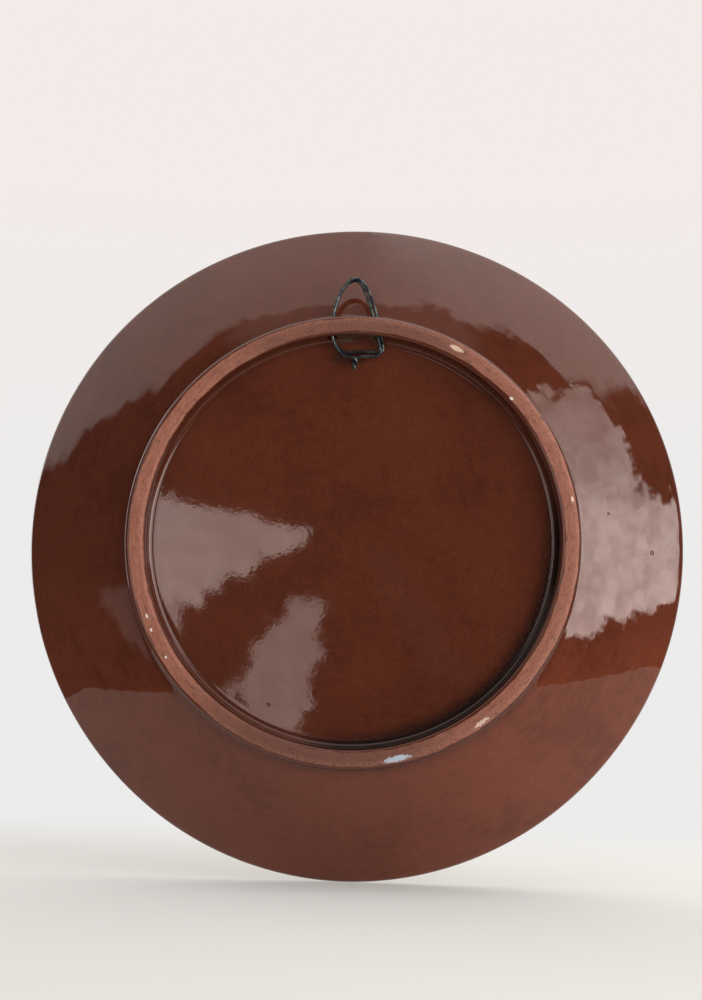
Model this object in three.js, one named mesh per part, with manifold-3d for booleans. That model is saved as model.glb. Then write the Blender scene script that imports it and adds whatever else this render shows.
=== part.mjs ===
// Slipware wall platter: a wheel-thrown dish of red earthenware, a third of a metre across, that hangs
// by a wire drawn through two holes in its foot ring. The wire goes round twice, and its two ends are
// twisted together inside the ring.
// Millimetres, +Z up. The platter's axis lies along Y: its face looks to -Y, its foot ring to +Y, where
// the wall is. The origin is where a nail bears on the wire, under the top of the inner turn.
import * as THREE from "three";
import { mergeVertices } from "three/addons/utils/BufferGeometryUtils.js";
import Module from "manifold-3d";

// Platter, with depths measured from the foot ring's flat edge towards the face
const rimDiameter = 330;
const platterHeight = 43.2;
const lipRadius = 3.2; // half the wall at the rounded lip
const wallThickness = 7.6; // of the rim where it leaves the foot ring
const rimAngle = 22; // degrees that the rim slopes there; it steepens to the lip
const wellFillet = 16; // where the rim's face meets the flat inside

// Foot ring
const footDiameter = 216;
const footWidth = 8.6; // at its edge, before the edges are rounded
const footHeight = 8; // outside the ring, from its edge to the back of the rim
const footDraft = 0.16; // how far each side leans for its depth
const footFillet = 1.8; // where the ring's outside meets the back of the rim
const outerRound = 2.6;
const innerRound = 2.2;
const recessDepth = 8.5; // inside the ring, from its edge to the back of the floor
const recessFillet = 2.8;

// Hanger
const wireDiameter = 1.5;
const strandGap = 0.3; // between two strands that lie side by side
const holeSpacing = 21.8;
const holeTilt = 10; // degrees that the right-hand hole, seen from behind, leans to the middle as it rises
const holeClearance = 0.75; // between the strands and the hole's wall
const holeSlack = 0.3; // how far the strands lie off the right-hand hole's middle at its two mouths
const clayOverHole = 2.2; // left between the hole and the ring's edge
const loopRise = 20.5; // from the ring's outside to the middle of the outer turn
const loopLean = 2.6; // how far the loop's top stands in from the holes' depth
const floorClearance = 1.2; // between the wire and the recess
const crossingDrop = 6.6; // from the ring's inside down to the strand that runs from hole to hole
const twistDrop = 10.1; // from the ring's inside down to where the two ends meet
const twistAcross = 0.4; // where they meet, to the right of the middle
const twistLength = 6;
const twistTurns = 0.9;
const twistStart = 0.15; // of a turn, from where the ends lie beside each other
const twistSway = 1.3; // how far its tip hangs to the left
const twistLift = 1.1; // how far its tip stands out
const shortEnd = 0.6; // share of the twist after which the left-hand end is cut off

// How the wire is bent, seen from behind: across from the middle in shares of half the holes' spacing, and
// up or down in shares of the rise and the drops above.
const loopBends = [
  { across: 1, up: 0 },
  { across: 0.86, up: 0.26 },
  { across: 0.73, up: 0.48 },
  { across: 0.55, up: 0.7 },
  { across: 0.35, up: 0.88 },
  { across: 0, up: 1 },
  { across: -0.34, up: 0.92 },
  { across: -0.54, up: 0.78 },
  { across: -0.71, up: 0.6 },
  { across: -0.87, up: 0.34 },
  { across: -1, up: 0 },
];
const crossingBends = [
  { across: -0.86, down: 0.42 },
  { across: -0.7, down: 0.78 },
  { across: -0.48, down: 1 },
  { across: 0.15, down: 1 },
  { across: 0.75, down: 0.98 },
  { across: 1.12, down: 1.02 },
  { across: 1.25, down: 0.85 },
  { across: 1.22, down: 0.42 },
];
const rightEndBends = [
  { across: 0.34, down: 0.91 },
  { across: 0.6, down: 0.9 },
  { across: 0.98, down: 0.88 },
  { across: 1.14, down: 0.72 },
  { across: 1.1, down: 0.39 },
];
const leftEndBends = [
  { across: -0.92, down: 0.3 },
  { across: -0.76, down: 0.58 },
  { across: -0.56, down: 0.82 },
  { across: -0.38, down: 0.91 },
  { across: -0.2, down: 0.95 },
];

// Facets
const latheSegments = 80;
const rimBands = 6;
const degreesPerFacet = 24;
const wireSides = 8;
const wireSteps = 165;
const holeSides = 16;

const wireRadius = wireDiameter / 2;
const strandPitch = wireDiameter + strandGap;
const lipCentreRadius = rimDiameter / 2 - lipRadius;
const footRadius = footDiameter / 2;
const footInnerRadius = footRadius - footWidth;
const footBaseRadius = footRadius + footDraft * footHeight;

// A point of the rim's wall, from its foot (share 0) to its lip (share 1): on its back (side -1), on its
// face (side 1) or midway between them (side 0), and the tilt of the wall there.
function rimPoint(share, side) {
  const footTilt = THREE.MathUtils.degToRad(rimAngle);
  const startRadius = footBaseRadius - (wallThickness / 2) * Math.sin(footTilt);
  const startDepth = footHeight + (wallThickness / 2) * Math.cos(footTilt);
  const reach = lipCentreRadius - startRadius;
  const climb = platterHeight - lipRadius - startDepth;
  const bend = climb / reach - Math.tan(footTilt);
  const tilt = Math.atan(Math.tan(footTilt) + 2 * bend * share);
  const offset = side * THREE.MathUtils.lerp(wallThickness / 2, lipRadius, share);
  return {
    radius: startRadius + reach * share - offset * Math.sin(tilt),
    depth: startDepth + reach * share * (Math.tan(footTilt) + bend * share) + offset * Math.cos(tilt),
    tilt,
  };
}

// Points along the rim's back or face, from just past its foot to just before its lip.
function rimPoints(side) {
  return Array.from({ length: rimBands - 1 }, (_, i) => rimPoint((i + 1) / rimBands, side));
}

// The lip's half round, from the back of the rim to its face.
function lipPoints() {
  const { radius, depth, tilt } = rimPoint(1, 0);
  const count = Math.round(180 / degreesPerFacet);
  return Array.from({ length: count + 1 }, (_, i) => {
    const angle = tilt - Math.PI / 2 + (Math.PI * i) / count;
    return { radius: radius + lipRadius * Math.cos(angle), depth: depth + lipRadius * Math.sin(angle) };
  });
}

// Replaces each corner that has a round by an arc, no longer than half of its shorter side allows.
function rounded(corners) {
  const points = [];
  corners.forEach(({ radius, depth, round }, i) => {
    const at = new THREE.Vector2(radius, depth);
    if (!round) {
      points.push(at);
      return;
    }
    const toward = (corner) => new THREE.Vector2(corner.radius, corner.depth).sub(at);
    const before = toward(corners[i - 1]);
    const after = toward(corners[i + 1]);
    const room = Math.min(before.length(), after.length()) / 2;
    before.normalize();
    after.normalize();
    const half = Math.acos(THREE.MathUtils.clamp(before.dot(after), -1, 1)) / 2;
    const reach = Math.min(round / Math.tan(half), room);
    const turn = Math.PI - 2 * half;
    const middle = before.clone().add(after).normalize();
    const centre = at.clone().addScaledVector(middle, reach / Math.cos(half));
    const start = at.clone().addScaledVector(before, reach).sub(centre);
    const way = Math.sign(before.cross(after));
    const count = Math.max(2, Math.round(THREE.MathUtils.radToDeg(turn) / degreesPerFacet));
    for (let k = 0; k <= count; k++) {
      const arm = start.clone().rotateAround(new THREE.Vector2(), (-way * turn * k) / count);
      points.push(centre.clone().add(arm));
    }
  });
  return points;
}

// The platter's section, from the middle of its face round the lip to the middle of its back.
function platterProfile() {
  const recessRadius = footInnerRadius - footDraft * recessDepth;
  const well = rimPoint(0, 1);
  const corners = [
    { radius: 0, depth: recessDepth },
    { radius: recessRadius, depth: recessDepth, round: recessFillet },
    { radius: footInnerRadius, depth: 0, round: innerRound },
    { radius: footRadius, depth: 0, round: outerRound },
    { radius: footBaseRadius, depth: footHeight, round: footFillet },
    ...rimPoints(-1),
    ...lipPoints(),
    ...rimPoints(1).reverse(),
    { ...well, round: wellFillet },
    { radius: 0, depth: well.depth },
  ];
  return rounded(corners)
    .reverse()
    .map((point) => new THREE.Vector2(point.x, -point.y));
}

const wasm = await Module();
wasm.setup();

// A closed geometry as a solid that can be cut.
function solidOf(geometry) {
  const bare = geometry.clone();
  bare.deleteAttribute("normal");
  bare.deleteAttribute("uv");
  const merged = mergeVertices(bare);
  return new wasm.Manifold(
    new wasm.Mesh({
      numProp: 3,
      vertProperties: new Float32Array(merged.attributes.position.array),
      triVerts: new Uint32Array(merged.index.array),
    }),
  );
}

function geometryOf(solid) {
  const mesh = solid.getMesh();
  const geometry = new THREE.BufferGeometry();
  geometry.setAttribute("position", new THREE.BufferAttribute(mesh.vertProperties, 3));
  geometry.setIndex(new THREE.BufferAttribute(mesh.triVerts, 1));
  geometry.computeVertexNormals();
  return geometry;
}

const holeAcross = holeSpacing / 2;
const holeRadius = strandPitch / 2 + wireRadius + holeClearance;
const holeDepth = clayOverHole + holeRadius;
// Heights above the platter's axis where the ring's outside and inside cross the holes
const ringTop = Math.sqrt((footRadius + footDraft * holeDepth) ** 2 - holeAcross ** 2);
const ringBottom = Math.sqrt((footInnerRadius - footDraft * holeDepth) ** 2 - holeAcross ** 2);
const holeLean = (Math.tan(THREE.MathUtils.degToRad(holeTilt)) * (ringTop - ringBottom)) / 2;

// A point seen from behind: across to the right, depth in from the ring's edge, up from the platter's axis.
function behind(across, depth, up) {
  return new THREE.Vector3(-across, -depth, up);
}

// The thrown and glazed body, with the two holes pierced through the top of its foot ring.
function platterBody() {
  let body = solidOf(new THREE.LatheGeometry(platterProfile(), latheSegments));
  const length = 2 * (ringTop - ringBottom);
  for (const side of [-1, 1]) {
    const drill = new THREE.CylinderGeometry(holeRadius, holeRadius, length, holeSides);
    drill.rotateX(Math.PI / 2);
    if (side > 0) drill.rotateY(THREE.MathUtils.degToRad(holeTilt));
    const middle = behind(side * holeAcross, holeDepth, (ringTop + ringBottom) / 2);
    drill.translate(...middle.toArray());
    body = body.subtract(solidOf(drill));
  }
  return geometryOf(body);
}

// The strands cross the right-hand hole side by side and the left-hand one behind each other.
const outerFoot = holeAcross - holeLean - holeSlack;
const innerFoot = holeAcross + holeLean + holeSlack;
const topBend = loopBends.reduce((best, bend, i) => (bend.up > loopBends[best].up ? i : best), 0);

// The outer turn over the ring, from the right-hand hole to the left-hand one.
function outerTurn() {
  return loopBends.map(({ across, up }, i) => {
    const right = i < topBend;
    const footAcross = right ? outerFoot + strandPitch / 2 : holeAcross;
    const footDepth = right ? holeDepth : holeDepth - strandPitch / 2;
    const lean = THREE.MathUtils.smoothstep(up, 0, 1);
    const depth = THREE.MathUtils.lerp(footDepth, holeDepth + loopLean, lean);
    return behind(across * footAcross, depth, ringTop + loopRise * up);
  });
}

// The inner turn keeps one strand's pitch from the outer one: inside it at the right, and deeper than it
// from the top to the left-hand hole.
function innerTurn() {
  const outer = outerTurn();
  return outer.map((point, i) => {
    const along = outer[Math.min(i + 1, outer.length - 1)].clone().sub(outer[Math.max(i - 1, 0)]);
    const inward = new THREE.Vector3(along.z, 0, -along.x).normalize();
    if (i === 0 || i === outer.length - 1) inward.set(1, 0, 0);
    const slip = (Math.PI / 2) * THREE.MathUtils.smoothstep(i, 1, topBend + 2);
    return point
      .addScaledVector(inward, strandPitch * Math.cos(slip))
      .add(behind(0, strandPitch * Math.sin(slip), 0));
  });
}

const crossingDepth = recessDepth - floorClearance - wireRadius;
const endDepth = crossingDepth - strandPitch;

// One end of the wire in the twist, from its top to its tip. Side 1 comes from the right, -1 from the left.
function twist(side) {
  const count = 14;
  const kept = side > 0 ? count : Math.round(shortEnd * count);
  return Array.from({ length: kept + 1 }, (_, i) => {
    const share = i / count;
    const angle = 2 * Math.PI * (twistStart + twistTurns * share);
    const out = (side * strandPitch) / 2;
    return behind(
      twistAcross - twistSway * share + out * Math.cos(angle),
      endDepth - twistLift * share + out * Math.sin(angle),
      ringBottom - twistDrop - twistLength * share,
    );
  });
}

// Points of the bends inside the ring, all at one depth.
function bent(bends, drop, depth) {
  return bends.map(({ across, down }) => behind(across * holeAcross, depth, ringBottom - drop * down));
}

// The whole wire, end to end: up from the twist, out through the right-hand hole, over the inner turn, in
// through the left-hand hole, across to the right-hand one, over the outer turn and back to the twist.
function wireRoute() {
  return new THREE.CatmullRomCurve3(
    [
      ...twist(1).reverse(),
      ...bent(rightEndBends, twistDrop, endDepth),
      behind(innerFoot - strandPitch / 2, holeDepth, ringBottom),
      ...innerTurn(),
      behind(-holeAcross, holeDepth + strandPitch / 2, ringBottom),
      ...bent(crossingBends, crossingDrop, crossingDepth),
      behind(innerFoot + strandPitch / 2, holeDepth, ringBottom),
      ...outerTurn(),
      behind(-holeAcross, holeDepth - strandPitch / 2, ringBottom),
      ...bent(leftEndBends, twistDrop, endDepth),
      ...twist(-1),
    ],
    false,
    "centripetal",
  );
}

// The bent iron wire, swept along its route.
function hangerWire() {
  const section = new THREE.Shape();
  for (let i = 0; i < wireSides; i++) {
    const angle = (2 * Math.PI * i) / wireSides;
    const x = wireRadius * Math.cos(angle);
    const y = wireRadius * Math.sin(angle);
    if (i) section.lineTo(x, y);
    else section.moveTo(x, y);
  }
  section.closePath();
  return new THREE.ExtrudeGeometry(section, { steps: wireSteps, extrudePath: wireRoute() });
}

function named(name, geometry, material) {
  const mesh = new THREE.Mesh(geometry, material);
  mesh.name = name;
  return mesh;
}

const brownGlaze = new THREE.MeshStandardMaterial({ color: 0x55281a, roughness: 0.12, metalness: 0 });
const blackIron = new THREE.MeshStandardMaterial({ color: 0x2b2d2f, roughness: 0.5, metalness: 0.9 });

const nailPoint = innerTurn()[topBend].setX(0).sub(behind(0, 0, wireRadius));
const platter = new THREE.Group();
platter.add(named("platter_body", platterBody(), brownGlaze));
platter.add(named("hanger_wire", hangerWire(), blackIron));
platter.position.copy(nailPoint).negate();

const wallPlatter = new THREE.Group();
wallPlatter.add(platter);

export default wallPlatter;
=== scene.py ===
import math

import bpy
import numpy as np
from mathutils import Matrix, Vector


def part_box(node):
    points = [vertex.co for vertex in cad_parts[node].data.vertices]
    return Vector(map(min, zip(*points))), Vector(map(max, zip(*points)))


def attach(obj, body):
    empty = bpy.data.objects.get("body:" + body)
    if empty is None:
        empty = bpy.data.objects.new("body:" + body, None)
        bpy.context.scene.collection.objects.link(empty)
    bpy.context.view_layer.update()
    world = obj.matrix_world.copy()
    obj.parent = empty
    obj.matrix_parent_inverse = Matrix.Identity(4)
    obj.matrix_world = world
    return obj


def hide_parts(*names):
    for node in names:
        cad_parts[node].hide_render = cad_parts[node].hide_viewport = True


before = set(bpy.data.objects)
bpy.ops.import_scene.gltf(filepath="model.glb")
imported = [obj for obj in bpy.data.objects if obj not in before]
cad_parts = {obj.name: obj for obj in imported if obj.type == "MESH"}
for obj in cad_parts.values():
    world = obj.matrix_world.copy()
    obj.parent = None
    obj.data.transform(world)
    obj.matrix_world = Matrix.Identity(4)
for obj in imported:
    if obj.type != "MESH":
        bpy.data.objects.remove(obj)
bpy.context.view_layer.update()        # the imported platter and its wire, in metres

# Slipware wall platter, seen from behind as it hangs. The section and the wire's bends repeat the
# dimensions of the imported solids, in millimetres, and are made much finer here.
mm = 0.001
lowest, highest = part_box("platter_body")
footPlane = highest.y / mm                      # the foot ring's flat edge
axisUp = (lowest.z + highest.z) / 2 / mm        # height of the platter's axis

scene = bpy.context.scene
scene.view_settings.view_transform = "Standard"


def inPlace(across, depth, up):
    # seen from behind: across to the right, depth in from the ring's edge, up from the axis
    spots = np.broadcast_arrays(-np.asarray(across, float), footPlane - np.asarray(depth, float),
                                axisUp + np.asarray(up, float))
    return np.stack(spots, axis=-1)


def meshPiece(name, points, faces, material):
    mesh = bpy.data.meshes.new(name)
    mesh.from_pydata((np.asarray(points) * mm).tolist(), [], faces)
    mesh.validate()
    mesh.shade_smooth()
    piece = bpy.data.objects.new(name, mesh)
    scene.collection.objects.link(piece)
    mesh.materials.append(material)
    return piece


# Material trees

class NodeMaker:
    # short calls for the nodes that the finishes and the studio light share
    def __init__(self, tree):
        self.tree = tree

    def add(self, kind, inputs=None, **settings):
        node = self.tree.nodes.new(kind)
        for key, value in settings.items():
            setattr(node, key, value)
        for key, value in (inputs or {}).items():
            if isinstance(value, bpy.types.NodeSocket):
                self.tree.links.new(value, node.inputs[key])
            else:
                node.inputs[key].default_value = value
        return node

    def math(self, operation, *values):
        inputs = dict(enumerate(values))
        return self.add("ShaderNodeMath", inputs, operation=operation).outputs[0]

    def vector(self, operation, *values, result="Vector"):
        inputs = dict(enumerate(values))
        return self.add("ShaderNodeVectorMath", inputs, operation=operation).outputs[result]

    def total(self, *values):
        sumSoFar = values[0]
        for value in values[1:]:
            sumSoFar = self.math("ADD", sumSoFar, value)
        return sumSoFar

    def product(self, *values):
        productSoFar = values[0]
        for value in values[1:]:
            productSoFar = self.math("MULTIPLY", productSoFar, value)
        return productSoFar

    def rise(self, value, start, end, low=0.0, high=1.0):
        inputs = {"Value": value, "From Min": start, "From Max": end, "To Min": low, "To Max": high}
        return self.add("ShaderNodeMapRange", inputs, interpolation_type="SMOOTHSTEP").outputs[0]

    def between(self, value, low, high, soft):
        up = self.rise(value, low - soft, low + soft)
        down = self.rise(value, high - soft, high + soft, 1, 0)
        return self.math("MULTIPLY", up, down)

    def noise(self, vector, scale, detail, roughness):
        inputs = {"Vector": vector, "Scale": scale, "Detail": detail, "Roughness": roughness}
        return self.add("ShaderNodeTexNoise", inputs).outputs["Fac"]

    def mix(self, share, first, second, blend="MIX"):
        node = self.add("ShaderNodeMix", data_type="RGBA", blend_type=blend)
        for index, value in ((0, share), (6, first), (7, second)):
            if isinstance(value, bpy.types.NodeSocket):
                self.tree.links.new(value, node.inputs[index])
            elif index:
                node.inputs[index].default_value = (*value, 1)
            else:
                node.inputs[index].default_value = value
        return node.outputs[2]


def newMaterial(name):
    material = bpy.data.materials.new(name)
    material.use_nodes = True
    maker = NodeMaker(material.node_tree)
    shader = material.node_tree.nodes["Principled BSDF"]
    return material, maker, shader


# Platter section, from the middle of the face round the lip to the middle of the back

platterSizes = {
    "rimDiameter": 330, "platterHeight": 43.2, "lipRadius": 3.2, "wallThickness": 7.6,
    "rimAngle": 22, "wellFillet": 16,
    "footDiameter": 216, "footWidth": 8.6, "footHeight": 8, "footDraft": 0.16, "footFillet": 1.8,
    "outerRound": 2.6, "innerRound": 2.2, "recessDepth": 8.5, "recessFillet": 2.8,
    "spacing": 1.75, "turns": 384, "degreesPerStep": 9, "lipSteps": 15, "sharpAngle": 45,
    "rimBands": 40, "backStart": 3, "faceStart": 7,         # the rim's bands, and where the fillets end
}


def rimPoint(share, side):
    # a point of the rim's wall from its foot (0) to its lip (1): back (-1), middle (0) or face (1)
    s = platterSizes
    footTilt = math.radians(s["rimAngle"])
    startRadius = s["footDiameter"] / 2 + s["footDraft"] * s["footHeight"]
    startRadius -= s["wallThickness"] / 2 * math.sin(footTilt)
    startDepth = s["footHeight"] + s["wallThickness"] / 2 * math.cos(footTilt)
    reach = s["rimDiameter"] / 2 - s["lipRadius"] - startRadius
    climb = s["platterHeight"] - s["lipRadius"] - startDepth
    bend = climb / reach - math.tan(footTilt)
    tilt = math.atan(math.tan(footTilt) + 2 * bend * share)
    half = s["wallThickness"] / 2 + (s["lipRadius"] - s["wallThickness"] / 2) * share
    radius = startRadius + reach * share - side * half * math.sin(tilt)
    depth = startDepth + reach * share * (math.tan(footTilt) + bend * share) + side * half * math.cos(tilt)
    return radius, depth, tilt


def roundedSection(corners):
    # corners are (radius, depth, round); each round becomes a fine arc
    points = []
    for i, (radius, depth, turning) in enumerate(corners):
        at = np.array([radius, depth], float)
        if not turning:
            points.append(at)
            continue
        before = np.array(corners[i - 1][:2], float) - at
        after = np.array(corners[i + 1][:2], float) - at
        room = min(np.linalg.norm(before), np.linalg.norm(after)) / 2
        before /= np.linalg.norm(before)
        after /= np.linalg.norm(after)
        half = math.acos(max(-1.0, min(1.0, float(before @ after)))) / 2
        reach = min(turning / math.tan(half), room)
        turn = math.pi - 2 * half
        middle = (before + after) / np.linalg.norm(before + after)
        centre = at + middle * reach / math.cos(half)
        start = at + before * reach - centre
        way = -np.sign(before[0] * after[1] - before[1] * after[0])
        count = max(3, round(math.degrees(turn) / platterSizes["degreesPerStep"]))
        for k in range(count + 1):
            angle = way * turn * k / count
            c, w = math.cos(angle), math.sin(angle)
            points.append(centre + np.array([c * start[0] - w * start[1], w * start[0] + c * start[1]]))
    return points


def platterSection():
    s = platterSizes
    footRadius = s["footDiameter"] / 2
    innerRadius = footRadius - s["footWidth"]
    baseRadius = footRadius + s["footDraft"] * s["footHeight"]
    bands = s["rimBands"]
    back = [(*rimPoint(i / bands, -1)[:2], 0) for i in range(s["backStart"], bands)]
    face = [(*rimPoint(i / bands, 1)[:2], 0) for i in range(s["faceStart"], bands)][::-1]
    lipRadius, lipDepth, lipTilt = rimPoint(1, 0)
    lip = []
    for angle in np.linspace(lipTilt - math.pi / 2, lipTilt + math.pi / 2, s["lipSteps"]):
        lip.append((lipRadius + s["lipRadius"] * math.cos(angle),
                    lipDepth + s["lipRadius"] * math.sin(angle), 0))
    well = rimPoint(0, 1)
    corners = [
        (0, s["recessDepth"], 0),
        (innerRadius - s["footDraft"] * s["recessDepth"], s["recessDepth"], s["recessFillet"]),
        (innerRadius, 0, s["innerRound"]),
        (footRadius, 0, s["outerRound"]),
        (baseRadius, s["footHeight"], s["footFillet"]),
        *back, *lip, *face,
        (*well[:2], s["wellFillet"]),
        (0, well[1], 0),
    ]
    coarse = roundedSection(corners)[::-1]
    fine = [coarse[0]]
    for start, end in zip(coarse, coarse[1:]):
        steps = max(1, math.ceil(np.linalg.norm(end - start) / s["spacing"]))
        fine += [start + (end - start) * k / steps for k in range(1, steps + 1)]
    return np.array(fine)


section = platterSection()
lipIndex = int(np.argmax(section[:, 0]))


def faceDepth(radius):
    # depth of the face's surface at a radius
    face = section[:lipIndex + 1]
    return np.interp(radius, face[:, 0], face[:, 1])


# Glaze, bare clay and marks on the platter

glazeLook = {
    "glaze": (0.081, 0.0188, 0.0087), "deepGlaze": (0.060, 0.0132, 0.0060),
    "paleGlaze": (0.104, 0.0268, 0.0128), "toneShares": (0.45, 0.3, 0.25),  # broad, streaks, middle
    # dark colours for the recess: by the ring's inner wall, gathered glaze with painted shade; under the
    # wire, a deposit with the wire's painted shadow
    "speck": (0.040, 0.0105, 0.006), "dirt": (0.022, 0.012, 0.009), "pooledGlazeAndShade": (0.010, 0.0035, 0.0025),
    "stainAndShadow": (0.03, 0.012, 0.008), "rust": (0.06, 0.032, 0.016), "pit": (0.055, 0.02, 0.012),
    "paintedBounceLight": (1.75, 1.8, 1.8),                    # painted light from the floor below on the lower rim's glaze, as a multiple
    "clay": (0.228, 0.069, 0.0375), "paleClay": (0.295, 0.116, 0.076), "darkClay": (0.105, 0.034, 0.021),
    "clayGrime": (0.055, 0.019, 0.013),
    "glazeRoughness": 0.022, "roughnessSpread": 0.02, "clayRoughness": 0.6, "sheen": (1.0, 0.82, 0.77),
    "skin": 0.0045, "grain": 0.35, "pitDepth": 0.6,          # relief in millimetres
    # the ring's edge is wiped bare between two radii, a little off centre, down to a depth
    "bareInside": 100.3, "bareOutside": 106.9, "bareShift": 1.1, "bareDepth": (1.6, 2.4), "bareWaver": 2.2,
    # noise cells in each millimetre
    "fineNoise": 0.9, "middleNoise": 0.16, "broadNoise": 0.022, "speckNoise": 0.42, "skinNoise": 0.5,
    "streaksAround": 9.0, "streaksAcross": 0.55, "streaksDown": 0.1,
    "wallRadius": 98.5,                             # the recess ends here and the ring's wall begins
    "stainAt": (-4.0, 88.5), "stainShape": (0.1, 0.24), "rustAcross": (-11, 12), "rustUp": (88, 100),
}
# Marks seen from behind: across and up from the axis, length along the ring, width across it (mm)
marks = [
    {"at": (24.0, -101.6), "size": (13.5, 3.0), "colour": (0.42, 0.5, 0.58), "ragged": 1.0},
    {"at": (48.4, 92.4), "size": (8.0, 2.6), "colour": (0.6, 0.42, 0.3), "ragged": 0.8},
    {"at": (74.9, 68.4), "size": (2.2, 1.5), "colour": (0.75, 0.7, 0.62), "ragged": 0.4},
    {"at": (62.7, -84.1), "size": (8.5, 2.0), "colour": (0.62, 0.45, 0.36), "ragged": 1.0},
    {"at": (104.0, 20.8), "size": (3.2, 1.2), "colour": (0.7, 0.52, 0.45), "ragged": 0.6},
    {"at": (-95.0, -38.8), "size": (2.4, 1.2), "colour": (0.7, 0.68, 0.66), "ragged": 0.5},
    {"at": (-92.8, -45.2), "size": (1.8, 1.0), "colour": (0.7, 0.68, 0.66), "ragged": 0.5},
    {"at": (-85.2, -57.9), "size": (1.6, 1.0), "colour": (0.7, 0.68, 0.66), "ragged": 0.5},
]
pits = [
    {"at": (123.8, 15.0), "size": 1.2}, {"at": (146.7, -2.6), "size": 1.9},
    {"at": (106.9, 79.7), "size": 2.6}, {"at": (32.2, 84.8), "size": 1.6},
    {"at": (-37.7, -79.5), "size": 1.5}, {"at": (-60.0, 21.0), "size": 0.9},
]


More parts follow.
